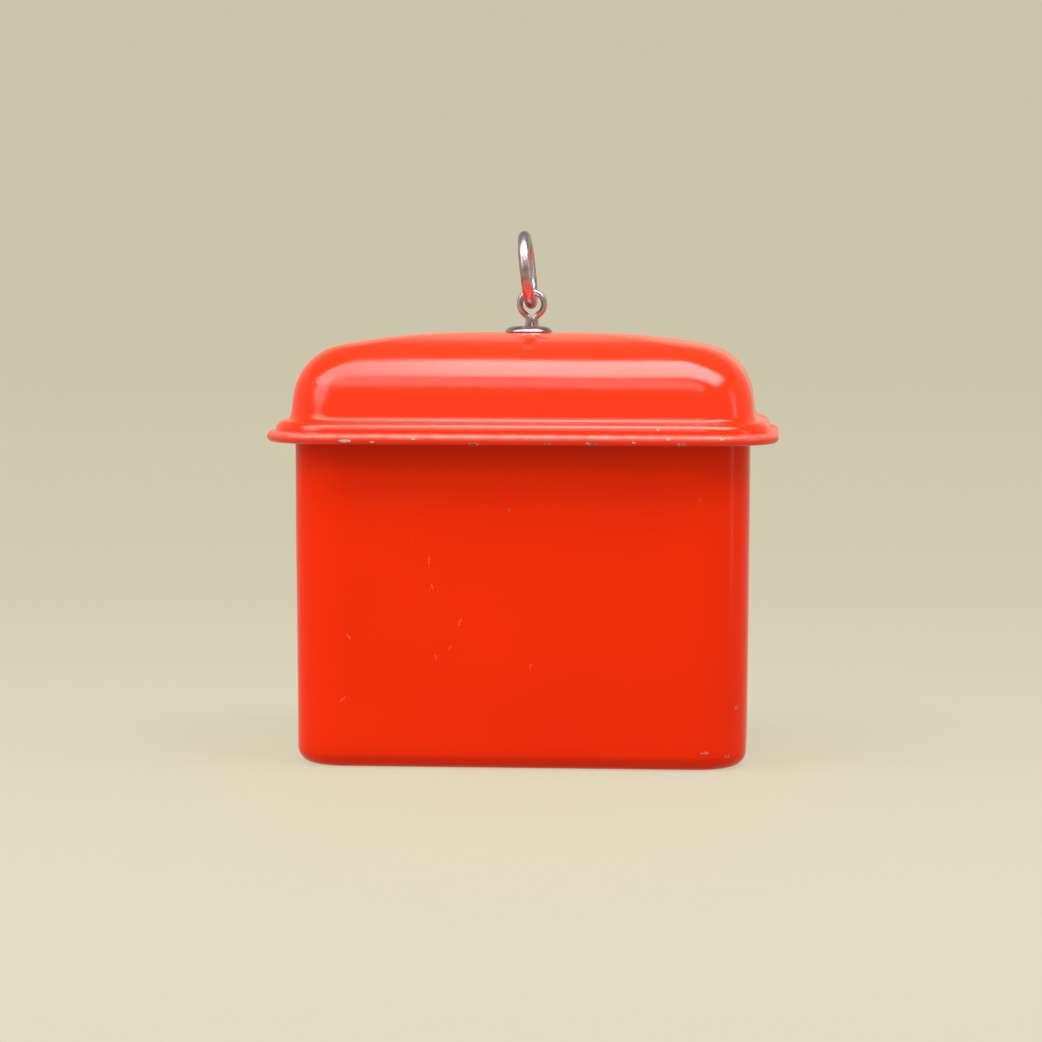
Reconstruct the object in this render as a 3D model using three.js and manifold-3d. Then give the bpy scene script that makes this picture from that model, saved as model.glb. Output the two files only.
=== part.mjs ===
// A storage bin in enamelled sheet steel, with a lift-off domed lid and a lift ring.
//
// Millimetres, +Z up. X is the width and Y the depth. The origin is the middle of the flat
// base, which stands on z = 0. The lid is in its closed place on the bin's curled rim.

import * as THREE from 'three';
import { mergeVertices, toCreasedNormals } from 'three/addons/utils/BufferGeometryUtils.js';
import Module from 'manifold-3d';

const wasm = await Module();
wasm.setup();

// Sheet steel with its enamel, and the gap kept between pieces that touch
const SHEET = 1.0;
const GAP = 0.3;

// Bin
const BIN_WIDTH = 284.6;
const BIN_DEPTH = 172;
const BIN_CORNER = 34;
const BIN_TAPER = 1.2;
const BASE_FILLET = 10;
const RIM_RADIUS = 4;
const RIM_CURL_END = -110;

// Lid: a flange with a ledge and a rolled edge, then an upright wall, shoulder and crown.
// The crown is pressed a little off the middle, towards -X.
const ROLL_RADIUS = 3.4;
const ROLL_OUT = 14.3;
const ROLL_START = 128;
const ROLL_END = -170;
const ROLL_BELOW_FOOT = 15.6;
const LEDGE_OUT = 6.2;
const LEDGE_BELOW_FOOT = 5.4;
const FLANGE_RUN = 6;
const FLANGE_DROP = 6.6;
const FLANGE_END = 12;
const WALL_FOOT_Z = 221;
const WALL_OUT = 2.4;
const WALL_INSET = 1;
const WALL_HEIGHT = 8.5;
const SHOULDER_RISE = 32.3;
const SHOULDER_START = 5;
const SHOULDER_ENDS = { x: 78.5, y: 62 };
const SHOULDER_RUNS = { x: 35.6, y: 49 };
const CROWN_RISE = 7.6;
const CROWN_POWER = 3;
const CROWN_CORNER = 21;
const CROWN_SHIFT = -1.8;

// Ring fitting, from the top down: a rosette, the lid, and a backing washer. The pin stands
// a little off the middle of the lid, and of the rosette, whose hole is loose round it.
const PIN_X = 2.6;
const PIN_HOLE_RADIUS = 4.8;
const ROSETTE_X = 0.6;
const ROSETTE_RADIUS = 15;
const ROSETTE_HEIGHT = 3.7;
const ROSETTE_FLAT = 7.6;
const ROSETTE_HOLE_RADIUS = 6.8;
const BACKING_RADIUS = 12;
const BACKING_THICKNESS = 1.2;

// The eye is one wire bent round into a loop, with its two legs spread under the lid
const EYE_WIRE_RADIUS = 1.9;
const EYE_LOOP_RADIUS = 7.8;
const EYE_ABOVE_ROSETTE = 14.1;
const EYE_NECK_BELOW = 9.2;
const EYE_NECK_HALF = 2.1;
const LEG_HALF = 2.5;
const LEG_BEND_RADIUS = 3;
const LEG_FOOT = 7;

// Lift ring: it stands up in the eye and leans a little towards -X
const RING_RADIUS = 21.3;
const RING_WIRE_RADIUS = 3.7;
const RING_LEAN = -6;
const RING_IN_EYE = { x: -0.5, z: 0.4 };

// Fineness of the facets
const CORNER_STEPS = 6;
const WASHER_STEPS = 32;

// Heights that follow from the sizes above
const LEDGE_Z = WALL_FOOT_Z - LEDGE_BELOW_FOOT;
const RIM_Z = LEDGE_Z - SHEET - GAP - RIM_RADIUS;
const ROLL_Z = WALL_FOOT_Z - ROLL_BELOW_FOOT;
const CROWN_EDGE_Z = WALL_FOOT_Z + WALL_HEIGHT + SHOULDER_RISE;
const CROWN_TOP = CROWN_EDGE_Z + CROWN_RISE;
const ROSETTE_Z = CROWN_TOP + GAP;
const ROSETTE_TOP = ROSETTE_Z + ROSETTE_HEIGHT;
const BACKING_Z = CROWN_TOP - SHEET - GAP - BACKING_THICKNESS;
const EYE_Z = ROSETTE_TOP + EYE_ABOVE_ROSETTE;

const redEnamel = new THREE.MeshStandardMaterial({ color: 0xe62d02, roughness: 0.18, metalness: 0 });
const nickel = new THREE.MeshStandardMaterial({ color: 0xb9aea8, roughness: 0.2, metalness: 1 });
const zincSteel = new THREE.MeshStandardMaterial({ color: 0x9a9a98, roughness: 0.45, metalness: 1 });

const { degToRad } = THREE.MathUtils;

// Points of an ellipse arc in a profile plane, as [out, z] pairs. Angles are in degrees.
function arc(centreOut, centreZ, radiusOut, radiusZ, from, to, steps) {
  return Array.from({ length: steps + 1 }, (_, i) => {
    const angle = degToRad(from + ((to - from) * i) / steps);
    return [centreOut + radiusOut * Math.cos(angle), centreZ + radiusZ * Math.sin(angle)];
  });
}

// One level of a shell: a rounded rectangle, anticlockwise seen from above
function level(halfX, halfY, radius, z) {
  const points = [];
  const corners = [[1, 1], [-1, 1], [-1, -1], [1, -1]];
  corners.forEach(([sideX, sideY], quarter) => {
    for (let i = 0; i <= CORNER_STEPS; i++) {
      const angle = (Math.PI / 2) * (quarter + i / CORNER_STEPS);
      const x = sideX * (halfX - radius) + radius * Math.cos(angle);
      const y = sideY * (halfY - radius) + radius * Math.sin(angle);
      points.push(new THREE.Vector3(x, y, z));
    }
  });
  return points;
}

// A level that keeps an even distance outwards from the bin's outer wall
function levelOut([out, z]) {
  return level(BIN_WIDTH / 2 + out, BIN_DEPTH / 2 + out, BIN_CORNER + out, z);
}

// Triangles that join levels in order, fanned from a centre point, which is the first vertex
function skinTriangles(levelCount, size) {
  const triangles = [];
  for (let j = 0; j < size; j++) {
    const next = (j + 1) % size;
    triangles.push(0, 1 + j, 1 + next);
    for (let i = 0; i < levelCount - 1; i++) {
      const low = 1 + i * size;
      const high = low + size;
      triangles.push(low + j, high + j, high + next, low + j, high + next, low + next);
    }
  }
  return triangles;
}

function indexedGeometry(points, triangles) {
  const geometry = new THREE.BufferGeometry().setFromPoints(points);
  geometry.setIndex(triangles);
  return geometry;
}

// A sheet shell. Its face runs from a centre point out through the levels to its free edge,
// and its back lies one thickness behind the face.
function sheetShell(centre, levels, thickness) {
  const size = levels[0].length;
  const face = [centre, ...levels.flat()];
  const faceTriangles = skinTriangles(levels.length, size);
  const skin = indexedGeometry(face, faceTriangles);
  skin.computeVertexNormals();
  const normals = skin.getAttribute('normal');
  const back = face.map((point, i) => {
    const normal = new THREE.Vector3().fromBufferAttribute(normals, i);
    return point.clone().addScaledVector(normal, -thickness);
  });
  const backTriangles = faceTriangles.map((index) => index + face.length).reverse();
  const edge = [];
  const faceEdge = 1 + (levels.length - 1) * size;
  const backEdge = faceEdge + face.length;
  for (let j = 0; j < size; j++) {
    const next = (j + 1) % size;
    edge.push(faceEdge + j, backEdge + j, backEdge + next);
    edge.push(faceEdge + j, backEdge + next, faceEdge + next);
  }
  return indexedGeometry([...face, ...back], [...faceTriangles, ...backTriangles, ...edge]);
}

function toSolid(geometry) {
  const bare = geometry.clone();
  bare.deleteAttribute('normal');
  bare.deleteAttribute('uv');
  const merged = mergeVertices(bare);
  const vertProperties = new Float32Array(merged.getAttribute('position').array);
  const triVerts = new Uint32Array(merged.getIndex().array);
  return new wasm.Manifold(new wasm.Mesh({ numProp: 3, vertProperties, triVerts }));
}

function cut(geometry, tool) {
  const mesh = toSolid(geometry).subtract(toSolid(tool)).getMesh();
  const result = new THREE.BufferGeometry();
  result.setAttribute('position', new THREE.BufferAttribute(mesh.vertProperties, 3));
  result.setIndex(new THREE.BufferAttribute(mesh.triVerts, 1));
  return result;
}

// The face of the bin is its inside: the base, the fillet, the wall and the curled rim
function binGeometry() {
  const fillet = BASE_FILLET - SHEET;
  const filletOut = -BIN_TAPER - BASE_FILLET;
  const profile = [
    ...arc(filletOut, BASE_FILLET, fillet, fillet, -90, 0, 5),
    ...arc(RIM_RADIUS - SHEET, RIM_Z, RIM_RADIUS, RIM_RADIUS, 180, RIM_CURL_END, 14),
  ];
  return sheetShell(new THREE.Vector3(0, 0, SHEET), profile.map(levelOut), SHEET);
}

// How far the shoulder has come in from the top of the wall, at a height above it
function shoulderInset(axis, height) {
  const start = degToRad(SHOULDER_START);
  const end = degToRad(SHOULDER_ENDS[axis]);
  const riseRadius = SHOULDER_RISE / (Math.sin(end) - Math.sin(start));
  const angle = Math.asin(Math.min(1, height / riseRadius + Math.sin(start)));
  return SHOULDER_RUNS[axis] * (Math.cos(start) - Math.cos(angle));
}

function shoulderLevel(height) {
  const insetX = WALL_INSET + shoulderInset('x', height);
  const insetY = WALL_INSET + shoulderInset('y', height);
  const share = insetX / (WALL_INSET + shoulderInset('x', SHOULDER_RISE));
  const radius = THREE.MathUtils.lerp(BIN_CORNER + WALL_OUT, CROWN_CORNER, share);
  const halfX = BIN_WIDTH / 2 + WALL_OUT - insetX;
  const halfY = BIN_DEPTH / 2 + WALL_OUT - insetY;
  const points = level(halfX, halfY, radius, WALL_FOOT_Z + WALL_HEIGHT + height);
  points.forEach((point) => point.setX(point.x + CROWN_SHIFT * share));
  return points;
}

// The crown repeats the top of the shoulder, smaller and smaller towards the middle
function crownLevel(scale) {
  const middle = new THREE.Vector3(CROWN_SHIFT, 0, CROWN_EDGE_Z);
  const z = CROWN_TOP - CROWN_RISE * scale ** CROWN_POWER;
  return shoulderLevel(SHOULDER_RISE).map((p) => p.lerp(middle, 1 - scale).setZ(z));
}

function lidLevels() {
  const crownScales = [0.3, 0.55, 0.8];
  const shoulderSteps = 7;
  const shoulderHeights = Array.from({ length: shoulderSteps + 1 }, (_, i) => {
    return SHOULDER_RISE * Math.sin((Math.PI / 2) * (1 - i / shoulderSteps));
  });
  const filletRun = LEDGE_OUT - WALL_OUT;
  const flangeZ = LEDGE_Z - FLANGE_DROP;
  const flange = [
    ...arc(LEDGE_OUT, WALL_FOOT_Z, filletRun, LEDGE_BELOW_FOOT, 180, 270, 4),
    ...arc(LEDGE_OUT, flangeZ, FLANGE_RUN, FLANGE_DROP, 90, FLANGE_END, 6).slice(1),
    ...arc(ROLL_OUT, ROLL_Z, ROLL_RADIUS, ROLL_RADIUS, ROLL_START, ROLL_END, 15),
  ];
  return [
    ...crownScales.map(crownLevel),
    ...shoulderHeights.map(shoulderLevel),
    ...flange.map(levelOut),
  ];
}

function lidGeometry() {
  const centre = new THREE.Vector3(CROWN_SHIFT, 0, CROWN_TOP);
  const shell = sheetShell(centre, lidLevels(), SHEET);
  const drill = new THREE.CylinderGeometry(PIN_HOLE_RADIUS, PIN_HOLE_RADIUS, 10, WASHER_STEPS);
  drill.rotateX(Math.PI / 2);
  drill.translate(PIN_X, 0, CROWN_TOP);
  return cut(shell, drill);
}

// A body turned about the Z axis from a closed [radius, z] outline
function turned(outline) {
  const closed = [...outline, outline[0]].map(([radius, z]) => new THREE.Vector2(radius, z));
  return new THREE.LatheGeometry(closed, WASHER_STEPS).rotateX(Math.PI / 2);
}

function washerGeometry(radius, thickness) {
  return turned([
    [PIN_HOLE_RADIUS, 0],
    [radius, 0],
    [radius, thickness],
    [PIN_HOLE_RADIUS, thickness],
  ]);
}

// A shallow pressed cup, open underneath, with a flat top round its hole
function rosetteGeometry() {
  const run = ROSETTE_RADIUS - ROSETTE_FLAT;
  const outside = arc(ROSETTE_FLAT, 0, run, ROSETTE_HEIGHT, 0, 90, 5);
  const hollowHeight = ROSETTE_HEIGHT - SHEET;
  const hollow = arc(ROSETTE_FLAT, 0, run - SHEET, hollowHeight, 90, 0, 5);
  return turned([
    ...outside,
    [ROSETTE_HOLE_RADIUS, ROSETTE_HEIGHT],
    [ROSETTE_HOLE_RADIUS, hollowHeight],
    ...hollow,
  ]);
}

// Half of the eye's centre line, from the foot of the +X leg up to the side of the loop
function eyeHalfPath() {
  const bendZ = BACKING_Z + GAP - EYE_Z;
  const bendX = LEG_HALF + LEG_BEND_RADIUS;
  const bend = arc(bendX, bendZ, LEG_BEND_RADIUS, LEG_BEND_RADIUS, 270, 180, 4);
  const loop = arc(0, 0, EYE_LOOP_RADIUS, EYE_LOOP_RADIUS, -54, 72, 6);
  return [
    [bendX + LEG_FOOT, bendZ - LEG_BEND_RADIUS],
    ...bend,
    [LEG_HALF, -EYE_ABOVE_ROSETTE],
    [EYE_NECK_HALF, -EYE_NECK_BELOW],
    ...loop,
  ];
}

function eyeGeometry() {
  const right = eyeHalfPath().map(([x, z]) => new THREE.Vector3(x, 0, z));
  const left = right.map((p) => new THREE.Vector3(-p.x, 0, p.z)).reverse();
  const top = new THREE.Vector3(0, 0, EYE_LOOP_RADIUS);
  const path = new THREE.CatmullRomCurve3([...right, top, ...left], false, 'centripetal');
  const wire = new THREE.Shape().absarc(0, 0, EYE_WIRE_RADIUS, 0, 2 * Math.PI);
  return new THREE.ExtrudeGeometry(wire, { extrudePath: path, steps: 56, curveSegments: 5 });
}

function ringGeometry() {
  return new THREE.TorusGeometry(RING_RADIUS, RING_WIRE_RADIUS, 12, 40).rotateY(Math.PI / 2);
}

function piece(name, geometry, material, x = 0, z = 0) {
  const mesh = new THREE.Mesh(toCreasedNormals(geometry, Math.PI / 6), material);
  mesh.name = name;
  mesh.position.set(x, 0, z);
  return mesh;
}

// The lift ring turns about the Y axis through its own wire, where it passes through the eye
function liftRing() {
  const ring = piece('lift_ring', ringGeometry(), nickel, 0, RING_RADIUS);
  const pivot = new THREE.Group();
  pivot.position.set(PIN_X + RING_IN_EYE.x, 0, EYE_Z + RING_IN_EYE.z);
  pivot.rotation.y = degToRad(RING_LEAN);
  pivot.add(ring);
  return pivot;
}

function lid() {
  const group = new THREE.Group();
  group.add(piece('lid_shell', lidGeometry(), redEnamel));
  group.add(piece('rosette', rosetteGeometry(), nickel, ROSETTE_X, ROSETTE_Z));
  group.add(piece('ring_eye', eyeGeometry(), nickel, PIN_X, EYE_Z));
  const backing = washerGeometry(BACKING_RADIUS, BACKING_THICKNESS);
  group.add(piece('backing_washer', backing, zincSteel, PIN_X, BACKING_Z));
  group.add(liftRing());
  return group;
}

const storageBin = new THREE.Group();
storageBin.add(piece('bin_body', binGeometry(), redEnamel));
storageBin.add(lid());

export default storageBin;
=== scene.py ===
import math

import bpy
import numpy as np
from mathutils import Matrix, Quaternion, Vector, noise


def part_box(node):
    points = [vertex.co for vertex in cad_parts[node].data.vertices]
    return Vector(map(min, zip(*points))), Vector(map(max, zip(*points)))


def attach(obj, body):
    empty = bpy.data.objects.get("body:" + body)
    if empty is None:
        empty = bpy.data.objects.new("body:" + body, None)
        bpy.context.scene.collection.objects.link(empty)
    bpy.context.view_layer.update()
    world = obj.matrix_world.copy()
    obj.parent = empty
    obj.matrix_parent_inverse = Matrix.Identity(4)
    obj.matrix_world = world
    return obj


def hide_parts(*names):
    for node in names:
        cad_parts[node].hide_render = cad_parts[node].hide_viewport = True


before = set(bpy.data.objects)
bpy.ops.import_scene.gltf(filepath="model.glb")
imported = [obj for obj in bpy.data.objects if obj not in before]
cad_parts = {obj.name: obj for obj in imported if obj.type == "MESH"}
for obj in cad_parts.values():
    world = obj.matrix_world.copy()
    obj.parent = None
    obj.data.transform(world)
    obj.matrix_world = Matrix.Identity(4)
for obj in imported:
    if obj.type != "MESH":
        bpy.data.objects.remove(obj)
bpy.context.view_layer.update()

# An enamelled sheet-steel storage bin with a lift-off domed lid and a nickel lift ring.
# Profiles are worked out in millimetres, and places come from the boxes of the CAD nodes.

MM = 0.001


def node_box(node):
    """Lowest and highest corner of a CAD node, in millimetres."""
    low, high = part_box(node)
    return low / MM, high / MM


_, bin_high = node_box("bin_body")
lid_low, lid_high = node_box("lid_shell")
rosette_low, rosette_high = node_box("rosette")
eye_low, eye_high = node_box("ring_eye")
washer_low, washer_high = node_box("backing_washer")
ring_low, ring_high = node_box("lift_ring")

# Sheet steel with its enamel, and the gap kept between pieces that touch
SHEET = 1.0
GAP = 0.3

# Bin
BIN_CORNER = 34
BIN_TAPER = 1.2
BASE_FILLET = 10
RIM_RADIUS = 4
RIM_CURL_END = -110
BIN_HALF_X = bin_high.x - 2 * RIM_RADIUS + SHEET
BIN_HALF_Y = bin_high.y - 2 * RIM_RADIUS + SHEET
RIM_Z = bin_high.z - RIM_RADIUS

# Lid: a flange with a ledge and a rolled edge, then an upright wall, shoulder and crown.
# The crown is pressed a little off the middle.
ROLL_RADIUS = 3.4
ROLL_OUT = lid_high.x - BIN_HALF_X - ROLL_RADIUS
ROLL_START = 128
ROLL_END = -170
ROLL_Z = lid_low.z + ROLL_RADIUS
ROLL_BELOW_FOOT = 15.6
LEDGE_OUT = 6.2
LEDGE_BELOW_FOOT = 5.4
FLANGE_RUN = 6
FLANGE_DROP = 6.6
FLANGE_END = 12
WALL_FOOT_Z = ROLL_Z + ROLL_BELOW_FOOT
WALL_OUT = 2.4
WALL_INSET = 1
WALL_HEIGHT = 8.5
SHOULDER_RISE = 32.3
SHOULDER_START = 5
SHOULDER_ENDS = (78.5, 62)
SHOULDER_RUNS = (35.6, 49)
CROWN_CORNER = 21
CROWN_SHIFT = -1.8
CROWN_POWER = 3
CROWN_TOP = lid_high.z
CROWN_RISE = CROWN_TOP - WALL_FOOT_Z - WALL_HEIGHT - SHOULDER_RISE

# Ring fitting
PIN_X = (eye_low.x + eye_high.x) / 2
PIN_HOLE_RADIUS = 4.8
ROSETTE_X = (rosette_low.x + rosette_high.x) / 2
ROSETTE_HOLE_RADIUS = 6.8
ROSETTE_FLAT = 7.6
EYE_WIRE_RADIUS = 1.9
EYE_LOOP_RADIUS = 7.8
EYE_LOOP_START = -54
EYE_Z = eye_high.z - EYE_LOOP_RADIUS - EYE_WIRE_RADIUS
EYE_NECK_BELOW = 9.2
EYE_NECK_HALF = 2.1
LEG_HALF = 2.5
LEG_BEND_RADIUS = 3
LEG_FOOT = 7
RING_WIRE_RADIUS = 3.7
RING_RADIUS = ring_high.y - RING_WIRE_RADIUS
RING_LEAN = math.radians(-6)

# Waves in the pressed sheet, and how far from base and rim, from the middle of the crown and
# from the foot of the lid's wall they set in
BODY_WAVE_SIZE, BODY_WAVE_HEIGHT = 90, 0.5
LID_WAVE_SIZE, LID_WAVE_HEIGHT = 70, 0.35
BODY_WAVES_FADE = (14, 60)
CROWN_WAVES_FADE = (22, 50)
LID_WAVES_FADE = (0, 20)

# How far each bend is rounded
BODY_SOFTNESS = 0.5
CROWN_SOFTNESS = 2.5
FLANGE_SOFTNESS = 0.3

# Fineness of the meshes, and the share of base and crown that their smallest level takes up
CORNER_STEPS = 18
BASE_MIDDLE, CROWN_MIDDLE = 0.06, 0.14
SIDE_STEPS = (28, 14)
PROFILE_SPACING = 0.2
PROFILE_TURN = math.radians(6)
PROFILE_REACH = 6.0
EDGE_STEPS = 6
BASE_STEPS = 15
HOLE_STEPS = 5
SHOULDER_STEPS = 120
KNOT_STEPS = 24
WIRE_STEPS = 28
DOME_STEPS = 7
EYE_STEPS = 220
RING_STEPS, RING_WIRE_STEPS = 160, 36

# Columns of a level, which is a rounded rectangle: half its width and depth, its corner
# radius, the x of its middle, and its height
HALF_X, HALF_Y, RADIUS, MIDDLE_X, HEIGHT = range(5)


# Profiles and sheet shells

def arc(centre_out, centre_z, radius_out, radius_z, start, end, steps=48):
    """Points of an ellipse arc in a profile plane, as (out, z) rows. Angles are in degrees."""
    angles = np.radians(np.linspace(start, end, steps + 1))
    out = centre_out + radius_out * np.cos(angles)
    z = centre_z + radius_z * np.sin(angles)
    return np.stack([out, z], 1)


def levels_out(profile):
    """Levels at even distances outwards from the bin's wall, from (out, z) rows."""
    out, z = profile.T
    return np.stack([BIN_HALF_X + out, BIN_HALF_Y + out, BIN_CORNER + out, 0 * out, z], 1)


def soften(levels, width):
    """The same levels, spread evenly along the profile, with each bend rounded over a width."""
    lengths = np.linalg.norm(np.diff(levels[:, [HALF_X, HEIGHT]], axis=0), axis=1)
    along = np.concatenate([[0], np.cumsum(lengths)])
    even = np.linspace(0, along[-1], int(along[-1] / PROFILE_SPACING) + 1)
    dense = np.stack([np.interp(even, along, column) for column in levels.T], 1)
    reach = int(3 * width / PROFILE_SPACING)
    kernel = np.exp(-0.5 * (np.arange(-reach, reach + 1) * PROFILE_SPACING / width) ** 2)
    before = 2 * dense[0] - dense[reach:0:-1]
    after = 2 * dense[-1] - dense[-2:-reach - 2:-1]
    padded = np.concatenate([before, dense, after])
    kernel /= kernel.sum()
    return np.stack([np.convolve(column, kernel, "valid") for column in padded.T], 1)


def thin_out(levels):
    """Only the levels that the bends and the length of the profile need."""
    steps = np.diff(levels[:, [HALF_X, HEIGHT]], axis=0)
    headings = np.unwrap(np.arctan2(steps[:, 1], steps[:, 0]))
    lengths = np.linalg.norm(steps, axis=1)
    kept, turned, reached = [0], 0.0, 0.0
    for i in range(1, len(levels) - 1):
        turned += abs(headings[i] - headings[i - 1])
        reached += lengths[i - 1]
        if turned >= PROFILE_TURN or reached >= PROFILE_REACH:
            kept.append(i)
            turned, reached = 0.0, 0.0
    return levels[kept + [len(levels) - 1]]


def around_a_level():
    """For each point round a level: its share of the straight half sides, and its normal."""
    signs = ((1, 1), (-1, 1), (-1, -1), (1, -1))
    shares, normals = [], []
    for quarter in range(4):
        here, there = np.array(signs[quarter]), np.array(signs[(quarter + 1) % 4])
        angles = math.pi / 2 * (quarter + np.linspace(0, 1, CORNER_STEPS + 1))
        shares += [here] * len(angles)
        normals += [(math.cos(angle), math.sin(angle)) for angle in angles]
        side = SIDE_STEPS[quarter % 2]
        shares += [here + (there - here) * i / side for i in range(1, side)]
        normals += [normals[-1]] * (side - 1)
    return np.array(shares, float), np.array(normals, float)


def outlines(levels):
    """The points of every level, as an array of levels, points round the level, and x y z."""
    shares, normals = around_a_level()
    half = levels[:, None, [HALF_X, HALF_Y]]
    radius = levels[:, None, [RADIUS]]
    plan = shares * (half - radius) + normals * radius
    plan[:, :, 0] += levels[:, [MIDDLE_X]]
    z = np.broadcast_to(levels[:, None, [HEIGHT]], plan.shape[:2] + (1,))
    return np.concatenate([plan, z], 2)


def sheet_normals(face):
    """Unit normals of a grid of levels, and the unit direction across the levels."""
    across = np.gradient(face, axis=0)
    around = np.roll(face, -1, axis=1) - np.roll(face, 1, axis=1)
    normals = np.cross(across, around)
    normals /= np.linalg.norm(normals, axis=2, keepdims=True)
    return normals, across / np.linalg.norm(across, axis=2, keepdims=True)


def round_edge(face, back, normal, outwards):
    """Levels that close the sheet with a half-round edge, from its face to its back."""
    angles = np.linspace(0, math.pi, EDGE_STEPS + 1)[1:-1, None, None]
    return (face + back) / 2 + SHEET / 2 * (np.cos(angles) * normal + np.sin(angles) * outwards)


def sheet_shell(face, open_middle):
    """Vertex levels of a closed sheet: the face, its free edge and its back. The back lies one
    sheet behind the face. With an open middle, the hole's edge is rounded too."""
    normals, across = sheet_normals(face)
    back = face - SHEET * normals
    rows = [face, round_edge(face[-1], back[-1], normals[-1], across[-1]), back[::-1]]
    if open_middle:
        rows.append(round_edge(face[0], back[0], normals[0], -across[0])[::-1])
    return np.concatenate(rows)


def ripple(face, size, height, weights):
    """The face moved along its normals by smooth noise, as in hand-finished sheet."""
    normals, _ = sheet_normals(face)
    lift = np.array([[noise.noise(Vector(p) / size) for p in row] for row in face])
    return face + normals * (height * lift * weights[:, None])[:, :, None]


# Objects

def mesh_object(name, points, faces, materials, material_of_face=None):
    """A smooth-shaded object, from an array of points in millimetres."""
    mesh = bpy.data.meshes.new(name)
    mesh.from_pydata((np.reshape(points, (-1, 3)) * MM).tolist(), [], faces)
    for material in materials:
        mesh.materials.append(material)
    if material_of_face is not None:
        mesh.polygons.foreach_set("material_index", material_of_face)
    mesh.shade_smooth()
    mesh.validate()
    thing = bpy.data.objects.new(name, mesh)
    bpy.context.scene.collection.objects.link(thing)
    return thing


def ring_quads(rows, size, closed):
    """Quads between rows of points, where each row closes on itself."""
    quads = []
    for i in range(rows if closed else rows - 1):
        low, high = i * size, (i + 1) % rows * size
        for j in range(size):
            k = (j + 1) % size
            quads.append((low + j, high + j, high + k, low + k))
    return quads


def stand_for(thing, node, body):
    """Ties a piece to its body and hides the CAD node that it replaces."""
    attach(thing, body)
    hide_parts(node)


def smooth_step(value, low, high):
    """0 up to low, 1 from high on, and smooth between them."""
    share = np.clip((value - low) / (high - low), 0, 1)
    return share * share * (3 - 2 * share)


# Shader helpers

class Shader:
    """A material's node tree, with short ways to add nodes to it."""

    def __init__(self, name):
        self.material = bpy.data.materials.new(name)
        self.material.use_nodes = True
        self.nodes = self.material.node_tree.nodes
        self.links = self.material.node_tree.links
        self.surface = self.nodes["Principled BSDF"]
        self.place = self.nodes.new("ShaderNodeTexCoord").outputs["Object"]

    def set(self, **values):
        for socket, value in values.items():
            self.surface.inputs[socket.replace("_", " ")].default_value = value

    def feed(self, socket, value):
        if isinstance(value, bpy.types.NodeSocket):
            self.links.new(value, socket)
        else:
            socket.default_value = value

    def math(self, operation, *values):
        node = self.nodes.new("ShaderNodeMath")
        node.operation = operation
        for socket, value in zip(node.inputs, values):
            self.feed(socket, value)
        return node.outputs[0]

    def vector(self, operation, *values):
        node = self.nodes.new("ShaderNodeVectorMath")
        node.operation = operation
        for socket, value in zip(node.inputs, values):
            self.feed(socket, value)
        return node.outputs["Value" if operation in ("LENGTH", "DOT_PRODUCT") else "Vector"]

    def noise(self, size, detail=2.0, stretch=(1, 1, 1)):
        """Noise whose features are about that size in millimetres, from 0 to 1."""
        node = self.nodes.new("ShaderNodeTexNoise")
        scaled = self.vector("MULTIPLY", self.place, [s / (size * MM) for s in stretch])
        self.feed(node.inputs["Vector"], scaled)
        node.inputs["Scale"].default_value = 1.0
        node.inputs["Detail"].default_value = detail
        return node.outputs["Fac"]

    def ramp(self, value, low, high, start=0.0, end=1.0):
        """value taken from low..high to start..end, smoothly and held at the ends."""
        node = self.nodes.new("ShaderNodeMapRange")
        node.interpolation_type = "SMOOTHSTEP"
        for socket, number in zip(node.inputs, (value, low, high, start, end)):
            self.feed(socket, number)
        return node.outputs["Result"]

    def mix(self, share, first, second):
        node = self.nodes.new("ShaderNodeMix")
        node.data_type = "RGBA"
        self.feed(node.inputs[0], share)
        self.feed(node.inputs[6], first)
        self.feed(node.inputs[7], second)
        return node.outputs[2]

    def spots(self, spots, place):
        """Distance from the nearest spot: 0 in its middle and 1 at its rim."""
        nearest = 10.0
        for centre, radii, tilt in spots:
            node = self.nodes.new("ShaderNodeMapping")
            node.vector_type = "TEXTURE"
            self.feed(node.inputs["Vector"], place)
            node.inputs["Location"].default_value = Vector(centre) * MM
            node.inputs["Rotation"].default_value = (0, tilt, 0)
            node.inputs["Scale"].default_value = Vector(radii) * MM
            nearest = self.math("MINIMUM", self.vector("LENGTH", node.outputs["Vector"]), nearest)
        return nearest

    def ragged_place(self, size, reach):
        """Object coordinates shaken by noise, so that spots get ragged rims. The size of the
        noise and its reach are in millimetres."""
        shake = self.nodes.new("ShaderNodeTexNoise")
        shake.inputs["Scale"].default_value = 1 / (size * MM)
        shake.inputs["Detail"].default_value = 4.0
        self.feed(shake.inputs["Vector"], self.place)
        centred = self.vector("SUBTRACT", shake.outputs["Color"], (0.5, 0.5, 0.5))
        moved = self.vector("MULTIPLY", centred, (2 * reach * MM,) * 3)
        return self.vector("ADD", moved, self.place)

    def bump(self, height, distance, before=None):
        node = self.nodes.new("ShaderNodeBump")
        node.inputs["Distance"].default_value = distance * MM
        self.feed(node.inputs["Height"], height)
        if before:
            self.feed(node.inputs["Normal"], before)
        return node.outputs["Normal"]

    def finish(self, colour, roughness, normal):
        self.feed(self.surface.inputs["Base Color"], colour)
        self.feed(self.surface.inputs["Roughness"], roughness)
        self.feed(self.surface.inputs["Normal"], normal)
        return self.material


def rgb(red, green, blue):
    return (red, green, blue, 1.0)


# Materials

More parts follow.
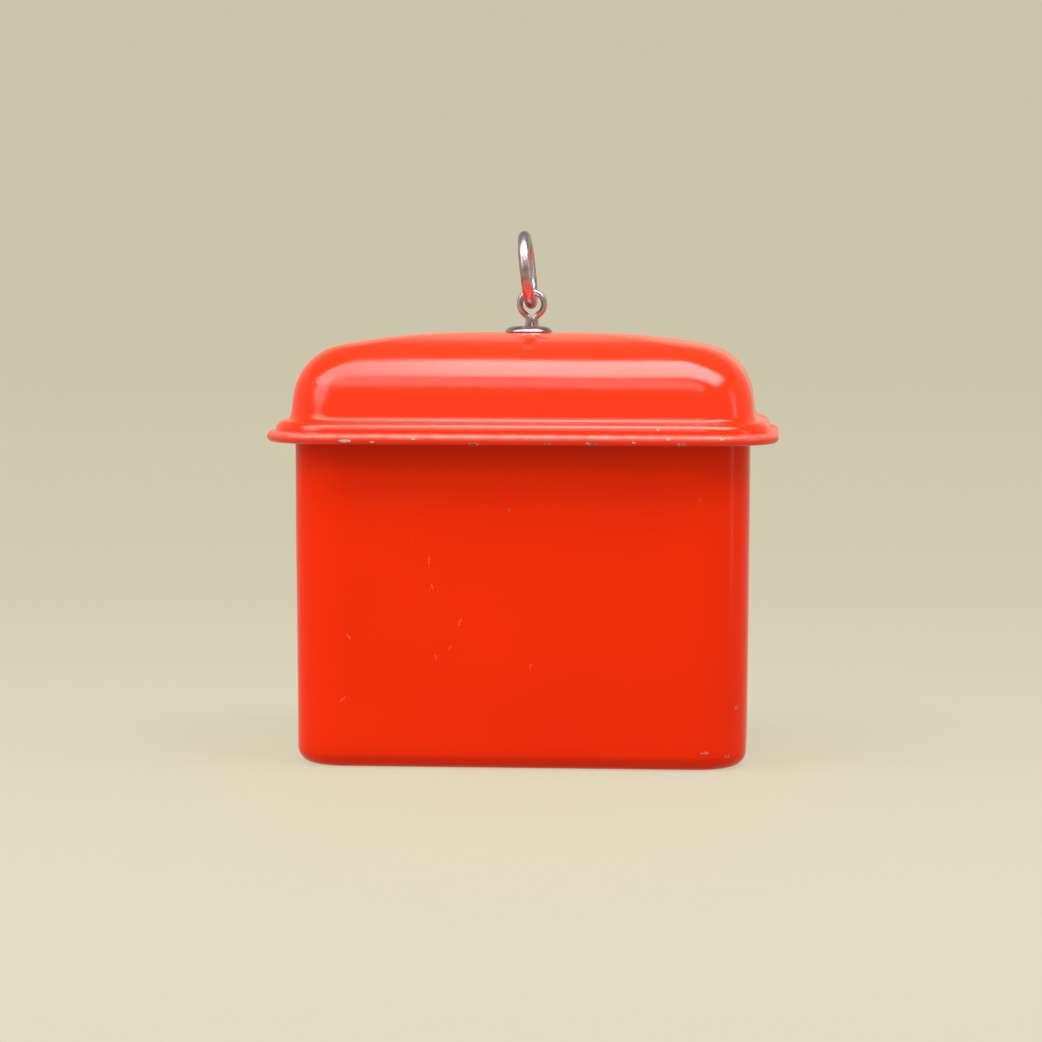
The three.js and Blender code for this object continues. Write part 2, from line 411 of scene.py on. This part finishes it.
RED_LIGHT, RED_DARK = rgb(0.76, 0.0220, 0.0001), rgb(0.65, 0.0170, 0.0001)
WHITE_LIGHT, WHITE_DARK = rgb(0.80, 0.78, 0.72), rgb(0.76, 0.74, 0.67)
GROUND_LIGHT, GROUND_DARK = rgb(0.72, 0.58, 0.52), rgb(0.38, 0.20, 0.16)
STEEL_DARK, STEEL_RUSTY = rgb(0.03, 0.022, 0.02), rgb(0.16, 0.08, 0.06)
NICKEL_LIGHT, NICKEL_DARK = rgb(0.46, 0.38, 0.40), rgb(0.24, 0.17, 0.18)
ZINC_LIGHT, ZINC_DARK = rgb(0.46, 0.46, 0.45), rgb(0.30, 0.30, 0.29)
PAPER_LIGHT, PAPER_DARK = rgb(0.060, 0.056, 0.042), rgb(0.056, 0.052, 0.039)
PAPER_GLOW = rgb(1.0, 0.93, 0.68)
# Pale red for the top of the lid's roll: a painted highlight, mixed with rubbed wear
RUBBED_HIGHLIGHT_RED = rgb(0.90, 0.50, 0.44)
SCRATCHED_RED = rgb(0.90, 0.22, 0.13)

# Roughness of the enamel, and what streaks, a rubbed edge, scratches and chips add to it
ENAMEL_ROUGHNESS = (0.14, 0.22)
DULL_STREAK = 0.08
DULL_EDGE = 0.16
DULL_SCRATCH = 0.35
DULL_CHIP = 0.4

# Chips and bare steel end at these distances from a spot, plus a fade. Noise adds to the
# distance, so that their rims are patchy.
PATCHINESS = 1.4
CHIP_RIM = 1.45
STEEL_RIM = 1.25
RIM_FADE = 0.15


def rubbed_edge_with_highlight(shader, colour, rough, top):
    """Enamel that is duller below a height in millimetres, and paler on its upper side. The paler
    enamel is a painted highlight along the top of the rolled edge, broken into blotches of wear.
    """
    height = shader.vector("DOT_PRODUCT", shader.place, (0, 0, 1))
    dull = shader.ramp(height, (top - 1) * MM, (top + 1) * MM, DULL_EDGE, 0.0)
    upper = shader.ramp(height, (top - 4) * MM, (top - 1.5) * MM)
    blotches = shader.ramp(shader.noise(9, 4), 0.3, 0.7, 0.4, 1.1)
    # Paler enamel on the upper side of the roll is a painted highlight, mixed with blotches of
    # wear
    pale = shader.math("MULTIPLY", shader.math("MULTIPLY", dull, blotches), upper)
    return shader.mix(pale, colour, RUBBED_HIGHLIGHT_RED), shader.math("ADD", rough, dull)


def scratched(shader, colour, rough, scratches, place):
    """Pale, dull scratches that don't go through the enamel."""
    mask = shader.ramp(shader.spots(scratches, place), 0.4, 1.1, 0.55, 0.0)
    rougher = shader.math("ADD", rough, shader.math("MULTIPLY", mask, DULL_SCRATCH))
    return shader.mix(mask, colour, SCRATCHED_RED), rougher


def chipped(shader, colour, rough, normal, chips, steel_rim, place):
    """Chips down to the pale ground coat and, inside steel_rim, to the dark steel."""
    patches = shader.math("MULTIPLY", shader.noise(0.9, 3), PATCHINESS)
    distance = shader.math("ADD", shader.spots(chips, place), patches)
    ground = shader.mix(shader.noise(1.0, 3), GROUND_LIGHT, GROUND_DARK)
    steel = shader.mix(shader.noise(0.8, 3), STEEL_DARK, STEEL_RUSTY)
    chip = shader.ramp(distance, CHIP_RIM, CHIP_RIM + RIM_FADE, 1.0, 0.0)
    bare = shader.ramp(distance, steel_rim, steel_rim + RIM_FADE, 1.0, 0.0)
    colour = shader.mix(bare, shader.mix(chip, colour, ground), steel)
    rough = shader.math("ADD", rough, shader.math("MULTIPLY", chip, DULL_CHIP))
    normal = shader.bump(shader.math("SUBTRACT", 1.0, chip), 0.2, normal)
    return colour, rough, normal


def enamel(name, light, dark, gloss, chips=(), pale_chips=(), scratches=(), rubbed_and_highlit_below=None):
    """Glossy vitreous enamel with its wear, and with a painted highlight on the upper side of a
    rubbed edge. Pale chips don't reach the steel.
    """
    shader = Shader(name)
    shader.set(IOR=1.5, Specular_IOR_Level=gloss)
    colour = shader.mix(shader.noise(140, 3), light, dark)
    streaks = shader.ramp(shader.noise(1.2, 3, stretch=(1, 1, 0.04)), 0.62, 0.8, 0.0, DULL_STREAK)
    rough = shader.ramp(shader.noise(45, 4), 0.3, 0.7, *ENAMEL_ROUGHNESS)
    rough = shader.math("ADD", rough, streaks)
    normal = shader.bump(shader.noise(3.2, 2), 0.01)
    ragged = shader.ragged_place(1.1, 0.9)
    if rubbed_and_highlit_below:
        colour, rough = rubbed_edge_with_highlight(shader, colour, rough, rubbed_and_highlit_below)
    if scratches:
        colour, rough = scratched(shader, colour, rough, scratches, ragged)
    if pale_chips:
        colour, rough, normal = chipped(shader, colour, rough, normal, pale_chips, 0.0, ragged)
    if chips:
        colour, rough, normal = chipped(shader, colour, rough, normal, chips, STEEL_RIM, ragged)
    return shader.finish(colour, rough, normal)


def bright_metal(name, light, dark, roughness):
    """Plated metal: bright where it is rubbed, with darker tarnish and hair scratches."""
    shader = Shader(name)
    shader.set(Metallic=1.0)
    tarnish = shader.ramp(shader.noise(7, 3), 0.42, 0.8)
    colour = shader.mix(tarnish, light, dark)
    hair = shader.noise(0.5, 3, stretch=(1, 0.1, 1))
    rough = shader.ramp(hair, 0.35, 0.8, roughness, roughness * 1.5)
    normal = shader.bump(shader.noise(1.6, 3), 0.01)
    return shader.finish(colour, rough, normal)


def floor_paper():
    """Pale paper that glows a little, so that it stays pale far behind the bin."""
    shader = Shader("floor_paper")
    shader.set(Emission_Color=PAPER_GLOW, Emission_Strength=0.56)
    colour = shader.mix(shader.noise(30, 4), PAPER_LIGHT, PAPER_DARK)
    rough = shader.ramp(shader.noise(4), 0, 1, 0.8, 0.9)
    return shader.finish(colour, rough, shader.bump(shader.noise(1.5), 0.05))


# Chips and scratches, all on the front. A spot is its centre, its half sizes along X, Y and Z,
# and its turn about Y. Both kinds reach further in depth than the sheet is thick.
LID_CHIP_DEPTH = 3.5
SCRATCH_HALF_WIDTH, SCRATCH_DEPTH = 0.35, 12


def edge_chips(*rows):
    """Spots from x, height above the middle of the roll, half length, half height, and how far
    behind the front of the lid they lie."""
    return [
        ((x, lid_low.y + behind, ROLL_Z + above), (length, LID_CHIP_DEPTH, height), 0)
        for x, above, length, height, behind in rows
    ]


def body_scratch(x, z, half_length, tilt):
    """A thin spot on the front of the body, tilted by degrees from upright."""
    size = (SCRATCH_HALF_WIDTH, SCRATCH_DEPTH, half_length)
    return (x, -BIN_HALF_Y, z), size, math.radians(tilt)


lid_chips = edge_chips(
    (-26, -2.3, 3.6, 1.0, 2),
    (19, -2.2, 2.8, 0.9, 2),
    (47, -2.3, 3.2, 1.0, 2),
    (101, -2.0, 3.8, 1.0, 2),
)
lid_pale_chips = edge_chips(
    (-139, 0.2, 3.6, 1.1, 6),
    (-105, -0.8, 5.0, 1.1, 1),
    (-88, -1.4, 1.8, 0.8, 1),
    (-63, 0.6, 1.2, 0.6, 1),
    (44, -1.6, 2.2, 0.6, 1),
    (72, -1.0, 1.3, 0.6, 1),
    (86, 6.6, 1.3, 0.7, 5),
    (93, 1.1, 1.1, 0.7, 1),
    (126, 1.2, 1.2, 0.8, 2),
)
body_scratches = [
    body_scratch(-55, 130, 3.4, 4),
    body_scratch(-53, 114, 2.4, -12),
    body_scratch(-36, 92, 3.0, 20),
    body_scratch(-42, 76, 2.0, 30),
    body_scratch(-51, 70, 1.8, -25),
    body_scratch(-105, 82, 3.0, -30),
    body_scratch(-109, 43, 3.2, 50),
    body_scratch(8, 65, 1.6, 15),
    body_scratch(112, 168, 1.2, 60),
    body_scratch(-130, 50, 4.0, 5),
]
body_chips = [
    ((115.7, 4 - BIN_HALF_Y, 12), (2.6, 8, 0.8), 0),
    ((129.5, 8 - BIN_HALF_Y, 9), (1.6, 10, 0.8), 0),
    ((-5.6, -BIN_HALF_Y, 161.7), (0.7, 2, 0.7), 0),
    ((135, 10 - BIN_HALF_Y, 39), (0.8, 12, 1.4), 0),
]

red_body = enamel(
    "red_enamel_body", RED_LIGHT, RED_DARK, gloss=0.09, chips=body_chips, scratches=body_scratches,
)
# The lid's roll gets a painted highlight on its upper side, mixed with wear
red_lid = enamel(
    "red_enamel_lid", RED_LIGHT, RED_DARK, gloss=0.42, chips=lid_chips,
    pale_chips=lid_pale_chips, rubbed_and_highlit_below=ROLL_Z + ROLL_RADIUS,
)
white_inside = enamel("white_enamel_inside", WHITE_LIGHT, WHITE_DARK, gloss=0.5)
nickel = bright_metal("nickel_plate", NICKEL_LIGHT, NICKEL_DARK, 0.28)
zinc = bright_metal("zinc_plate", ZINC_LIGHT, ZINC_DARK, 0.38)


# Pieces

def bin_shell():
    """Body: base, fillet, wall and curled rim. The face is the inside, and it is white there."""
    fillet = BASE_FILLET - SHEET
    foot = -BIN_TAPER - BASE_FILLET
    base_edge = np.array([BIN_HALF_X + foot, BIN_HALF_Y + foot, BIN_CORNER + foot, 0, 0])
    base = base_edge * np.linspace(BASE_MIDDLE, 1, BASE_STEPS + 1)[:-1, None]
    base[:, HEIGHT] = SHEET
    profile = np.concatenate([
        arc(foot, BASE_FILLET, fillet, fillet, -90, 0),
        arc(RIM_RADIUS - SHEET, RIM_Z, RIM_RADIUS, RIM_RADIUS, 180, RIM_CURL_END),
    ])
    levels = np.concatenate([base, thin_out(soften(levels_out(profile), BODY_SOFTNESS))])
    height = levels[:, HEIGHT]
    above_base = smooth_step(height, *BODY_WAVES_FADE)
    below_rim = smooth_step(RIM_Z - height, *BODY_WAVES_FADE)
    face = ripple(outlines(levels), BODY_WAVE_SIZE, BODY_WAVE_HEIGHT, above_base * below_rim)
    points = sheet_shell(face, open_middle=False)
    rows, size = points.shape[:2]
    inside_cap = tuple(range(size))
    outside_cap = tuple(reversed(range((rows - 1) * size, rows * size)))
    faces = ring_quads(rows, size, closed=False) + [inside_cap, outside_cap]
    white = np.repeat(np.arange(rows - 1), size) < np.argmax(height)
    materials = np.concatenate([white, [True, False]]).astype(int)
    return mesh_object("enamel_body", points, faces, [red_body, white_inside], materials)


def shoulder_inset(axis, height):
    """How far the shoulder has come in from the top of the wall, at a height above it."""
    start = math.radians(SHOULDER_START)
    end = math.radians(SHOULDER_ENDS[axis])
    rise_radius = SHOULDER_RISE / (math.sin(end) - math.sin(start))
    angle = np.arcsin(np.minimum(1, height / rise_radius + math.sin(start)))
    return SHOULDER_RUNS[axis] * (math.cos(start) - np.cos(angle))


def shoulder_levels(heights):
    inset_x = WALL_INSET + shoulder_inset(0, heights)
    inset_y = WALL_INSET + shoulder_inset(1, heights)
    share = inset_x / (WALL_INSET + shoulder_inset(0, SHOULDER_RISE))
    wall_corner = BIN_CORNER + WALL_OUT
    return np.stack([
        BIN_HALF_X + WALL_OUT - inset_x,
        BIN_HALF_Y + WALL_OUT - inset_y,
        wall_corner + (CROWN_CORNER - wall_corner) * share,
        CROWN_SHIFT * share,
        WALL_FOOT_Z + WALL_HEIGHT + heights,
    ], 1)


def crown_levels():
    """The crown repeats the top of the shoulder, smaller and smaller towards the middle."""
    scales = np.linspace(CROWN_MIDDLE, 1, SHOULDER_STEPS)[:-1, None]
    levels = shoulder_levels(np.array([SHOULDER_RISE])) * scales
    levels[:, MIDDLE_X] = CROWN_SHIFT
    levels[:, [HEIGHT]] = CROWN_TOP - CROWN_RISE * scales ** CROWN_POWER
    return levels


def lid_levels():
    heights = SHOULDER_RISE * np.sin(np.linspace(math.pi / 2, 0, SHOULDER_STEPS))
    flange_z = WALL_FOOT_Z - LEDGE_BELOW_FOOT - FLANGE_DROP
    flange = np.concatenate([
        arc(LEDGE_OUT, WALL_FOOT_Z, LEDGE_OUT - WALL_OUT, LEDGE_BELOW_FOOT, 180, 270),
        arc(LEDGE_OUT, flange_z, FLANGE_RUN, FLANGE_DROP, 90, FLANGE_END),
        arc(ROLL_OUT, ROLL_Z, ROLL_RADIUS, ROLL_RADIUS, ROLL_START, ROLL_END, steps=90),
    ])
    upper = soften(np.concatenate([crown_levels(), shoulder_levels(heights)]), CROWN_SOFTNESS)
    lower = soften(levels_out(flange), FLANGE_SOFTNESS)
    return thin_out(soften(np.concatenate([upper, lower]), FLANGE_SOFTNESS))


def round_pin_hole(contour):
    """Contours that lead from the round pin hole out to the first contour of the crown."""
    angles = np.arctan2(contour[:, 1], contour[:, 0])
    hole = np.stack([
        PIN_X + PIN_HOLE_RADIUS * np.cos(angles),
        PIN_HOLE_RADIUS * np.sin(angles),
        np.full(len(angles), CROWN_TOP),
    ], 1)
    return hole + (contour - hole) * np.linspace(0, 1, HOLE_STEPS + 1)[:-1, None, None]


def lid_shell():
    """Lid: from the pin hole over the crown, shoulder, wall and flange to the rolled edge.
    Its back is white up to the roll."""
    contours = outlines(lid_levels())
    face = np.concatenate([round_pin_hole(contours[0]), contours])
    reach = np.abs(face[:, :, 0]).max(1)
    off_rosette = smooth_step(reach, *CROWN_WAVES_FADE)
    above_foot = smooth_step(face[:, 0, 2] - WALL_FOOT_Z, *LID_WAVES_FADE)
    face = ripple(face, LID_WAVE_SIZE, LID_WAVE_HEIGHT, off_rosette * above_foot)
    points = sheet_shell(face, open_middle=True)
    rows, size = points.shape[:2]
    roll_row = np.argmax(reach > BIN_HALF_X + ROLL_OUT - ROLL_RADIUS / 2)
    white_row = 2 * len(face) + EDGE_STEPS - 2 - roll_row
    materials = (np.repeat(np.arange(rows), size) >= white_row).astype(int)
    faces = ring_quads(rows, size, closed=True)
    return mesh_object("enamel_lid", points, faces, [red_lid, white_inside], materials)


def revolved(outline, centre_x, steps):
    """The points of an outline of (radius, z) rows, turned about a Z axis at centre_x."""
    angles = np.linspace(0, 2 * math.pi, steps, endpoint=False)
    radius, z = np.asarray(outline).T[:, :, None]
    return np.stack([
        centre_x + radius * np.cos(angles),
        radius * np.sin(angles),
        np.broadcast_to(z, (len(radius), steps)),
    ], 2)


def turned(name, outline, centre_x, material, steps=96):
    """A solid of revolution from a closed outline of (radius, z) rows."""
    points = revolved(outline, centre_x, steps)
    return mesh_object(name, points, ring_quads(len(outline), steps, closed=True), [material])


def rosette():
    """A shallow pressed cup washer with a flat top, a round lip and a loose pin hole."""
    height = rosette_high.z - rosette_low.z
    radius = rosette_high.y
    run = radius - ROSETTE_FLAT
    lip = 0.4
    outside = arc(ROSETTE_FLAT, 0, run, height, 4, 90, steps=24)
    hole_edge = ROSETTE_HOLE_RADIUS + lip
    inner_edge = arc(hole_edge, height - SHEET / 2, lip, SHEET / 2, 90, 270, steps=8)
    hollow = arc(ROSETTE_FLAT, 0, run - SHEET, height - SHEET, 90, 4, steps=24)
    foot = [(radius - SHEET * 0.7, 0), (radius - SHEET * 0.3, 0)]
    outline = np.concatenate([outside, inner_edge, hollow, foot]) + [0, rosette_low.z]
    return turned("cup_rosette", outline[::-1], ROSETTE_X, nickel)


def backing_washer():
    """A plain washer with slightly rounded edges."""
    radius = washer_high.y
    thickness = washer_high.z - washer_low.z
    edge = thickness * 0.3
    corners = (
        (radius - edge, edge, 270), (radius - edge, thickness - edge, 0),
        (PIN_HOLE_RADIUS + edge, thickness - edge, 90), (PIN_HOLE_RADIUS + edge, edge, 180),
    )
    outline = np.concatenate([
        arc(out, washer_low.z + z, edge, edge, start, start + 90, steps=5)
        for out, z, start in corners
    ])
    return turned("zinc_backing_washer", outline[::-1], PIN_X, zinc, steps=64)


def smooth_curve(knots, count):
    """Points evenly along a centripetal Catmull-Rom curve through the knots."""
    ends = [2 * knots[0] - knots[1], *knots, 2 * knots[-1] - knots[-2]]
    dense = []
    for p0, p1, p2, p3 in zip(ends, ends[1:], ends[2:], ends[3:]):
        chords = np.linalg.norm([p1 - p0, p2 - p1, p3 - p2], axis=1)
        times = np.concatenate([[0], np.cumsum(np.sqrt(chords))])
        t = np.linspace(times[1], times[2], KNOT_STEPS, endpoint=False)[:, None]

        def blend(a, b, low, high):
            return a + (b - a) * (t - times[low]) / (times[high] - times[low])

        a1, a2, a3 = blend(p0, p1, 0, 1), blend(p1, p2, 1, 2), blend(p2, p3, 2, 3)
        b1, b2 = blend(a1, a2, 0, 2), blend(a2, a3, 1, 3)
        dense.append(blend(b1, b2, 1, 2))
    dense = np.concatenate(dense + [knots[-1:]])
    along = np.concatenate([[0], np.cumsum(np.linalg.norm(np.diff(dense, axis=0), axis=1))])
    even = np.linspace(0, along[-1], count)
    return np.stack([np.interp(even, along, column) for column in dense.T], 1)


def domed_wire(name, path, radius, material):
    """Round wire along a path in the XZ plane, with domed ends."""
    tangents = np.gradient(path, axis=0)
    tangents /= np.linalg.norm(tangents, axis=1, keepdims=True)
    dome = np.radians(np.linspace(85, 0, DOME_STEPS))
    reach = radius * np.sin(dome)[:, None]
    start = path[0] - reach * tangents[0]
    end = path[-1] + reach[::-1] * tangents[-1]
    taper = radius * np.cos(dome)
    radii = np.concatenate([taper, np.full(len(path) - 2, radius), taper[::-1]])[:, None, None]
    path = np.concatenate([start, path[1:-1], end])
    tangents = np.concatenate([
        [tangents[0]] * DOME_STEPS, tangents[1:-1], [tangents[-1]] * DOME_STEPS,
    ])
    sideways = np.stack([-tangents[:, 2], 0 * tangents[:, 0], tangents[:, 0]], 1)[:, None]
    angles = np.linspace(0, 2 * math.pi, WIRE_STEPS, endpoint=False)[:, None]
    section = np.cos(angles) * sideways + np.sin(angles) * [0, 1, 0]
    points = path[:, None] + radii * section
    last = (len(path) - 1) * WIRE_STEPS
    first_cap = tuple(range(WIRE_STEPS))
    last_cap = tuple(reversed(range(last, last + WIRE_STEPS)))
    faces = ring_quads(len(path), WIRE_STEPS, closed=False) + [first_cap, last_cap]
    return mesh_object(name, points, faces, [material])


def wire_eye():
    """One wire bent into a loop, pinched at the neck, with its two legs spread under the lid."""
    bend_z = washer_low.z + GAP - EYE_Z
    bend_x = LEG_HALF + LEG_BEND_RADIUS
    half = np.concatenate([
        [(bend_x + LEG_FOOT, bend_z - LEG_BEND_RADIUS)],
        arc(bend_x, bend_z, LEG_BEND_RADIUS, LEG_BEND_RADIUS, 270, 180, steps=8),
        [(LEG_HALF, rosette_high.z - EYE_Z), (EYE_NECK_HALF, -EYE_NECK_BELOW)],
        arc(0, 0, EYE_LOOP_RADIUS, EYE_LOOP_RADIUS, EYE_LOOP_START, 90, steps=12),
    ])
    mirrored = half[-2::-1] * [-1, 1]
    knots = np.concatenate([half, mirrored])
    curve = smooth_curve(knots, EYE_STEPS)
    path = np.stack([PIN_X + curve[:, 0], 0 * curve[:, 0], EYE_Z + curve[:, 1]], 1)
    return domed_wire("wire_eye", path, EYE_WIRE_RADIUS, nickel)


def lift_ring():
    """A closed ring of round wire. It stands across the lid and leans a little."""
    centre = (np.array(ring_low) + np.array(ring_high)) / 2
    up = np.array([math.sin(RING_LEAN), 0, math.cos(RING_LEAN)])
    across = np.array([math.cos(RING_LEAN), 0, -math.sin(RING_LEAN)])
    around = np.linspace(0, 2 * math.pi, RING_STEPS, endpoint=False)[:, None, None]
    turn = np.linspace(0, 2 * math.pi, RING_WIRE_STEPS, endpoint=False)[:, None]
    outwards = np.cos(around) * up + np.sin(around) * [0, 1, 0]
    wire = np.cos(turn) * outwards - np.sin(turn) * across
    points = centre + RING_RADIUS * outwards + RING_WIRE_RADIUS * wire
    faces = ring_quads(RING_STEPS, RING_WIRE_STEPS, closed=True)
    return mesh_object("nickel_ring", points, faces, [nickel])


stand_for(bin_shell(), "bin_body", "bin")
stand_for(lid_shell(), "lid_shell", "lid")
stand_for(rosette(), "rosette", "lid")
stand_for(wire_eye(), "ring_eye", "lid")
stand_for(backing_washer(), "backing_washer", "lid")
stand_for(lift_ring(), "lift_ring", "ring")


# Studio, in metres: a floor with its edge swept up all round, softboxes overhead, at both
# sides and in front, and a dim sky

def studio_floor():
    """A round floor that rises to an upright wall through a wide bend."""
    radius, bend, wall_height = 5.5, 1.4, 2.2
    steps = 96
    profile = np.concatenate([
        [(0.02, 0), (1.0, 0), (2.5, 0)],
        arc(radius - bend, bend, bend, bend, -90, 0, steps=19),
        [(radius, bend + wall_height)],
    ])
    points = revolved(profile / MM, 0, steps)
    faces = ring_quads(len(profile), steps, closed=False) + [tuple(range(steps))]
    mesh_object("studio_floor", points, faces, [floor_paper()])


def softbox(name, size, place, aim, radiance, shape="RECTANGLE"):
    """An area light of that radiance, pointing from place to aim. The camera doesn't see it."""
    area = size[0] * size[1] * (math.pi / 4 if shape == "ELLIPSE" else 1)
    light = bpy.data.lights.new(name, "AREA")
    light.shape = shape
    light.size, light.size_y = size
    light.energy = radiance * math.pi * area
    lamp = bpy.data.objects.new(name, light)
    lamp.location = place
    lamp.rotation_mode = "QUATERNION"
    lamp.rotation_quaternion = (Vector(aim) - Vector(place)).to_track_quat("-Z", "Y")
    lamp.visible_camera = False
    bpy.context.scene.collection.objects.link(lamp)
    return lamp


def dim_sky():
    world = bpy.data.worlds.new("dim_sky")
    world.use_nodes = True
    background = world.node_tree.nodes["Background"]
    background.inputs["Color"].default_value = rgb(1.0, 0.98, 0.96)
    background.inputs["Strength"].default_value = 0.25
    bpy.context.scene.world = world


def studio_camera():
    """A long lens in front of the bin, a little to its right and above its middle."""
    distance, azimuth, height = 2.2, math.radians(4.0), 0.310
    aim = Vector((-0.0042, 0, 0.1486))
    roll = math.radians(0.1)
    camera = bpy.data.cameras.new("camera")
    camera.lens = 118.9
    camera.sensor_width = 36
    eye = bpy.data.objects.new("camera", camera)
    eye.location = (distance * math.sin(azimuth), -distance * math.cos(azimuth), height)
    eye.rotation_mode = "QUATERNION"
    looking = (aim - eye.location).to_track_quat("-Z", "Y")
    eye.rotation_quaternion = looking @ Quaternion((0, 0, 1), roll)
    bpy.context.scene.collection.objects.link(eye)
    bpy.context.scene.camera = eye


studio_floor()
softbox("overhead_right", (1.40, 0.76), (0.50, -0.38, 1.35), (0.50, -0.38, 0.2), 9.4)
softbox("overhead_left", (1.50, 0.70), (-0.95, -0.41, 1.35), (-0.95, -0.41, 0.2), 5.4)
softbox("overhead_front", (2.2, 0.45), (-0.30, -1.08, 1.30), (0.0, -0.30, 0.2), 2.8)
softbox("right_strip", (0.12, 0.9), (1.3, -0.15, 0.30), (0.0, 0.0, 0.15), 3.0)
softbox("left_window", (0.8, 0.8), (-1.3, -0.75, 0.85), (0.0, 0.0, 0.2), 3.4, shape="ELLIPSE")
front_fill = softbox("front_fill", (1.2, 0.5), (-0.80, -1.55, 1.60), (0.0, -0.1, 0.1), 2.2)
front_fill.visible_glossy = False
dim_sky()
studio_camera()
bpy.context.scene.view_settings.view_transform = "Standard"
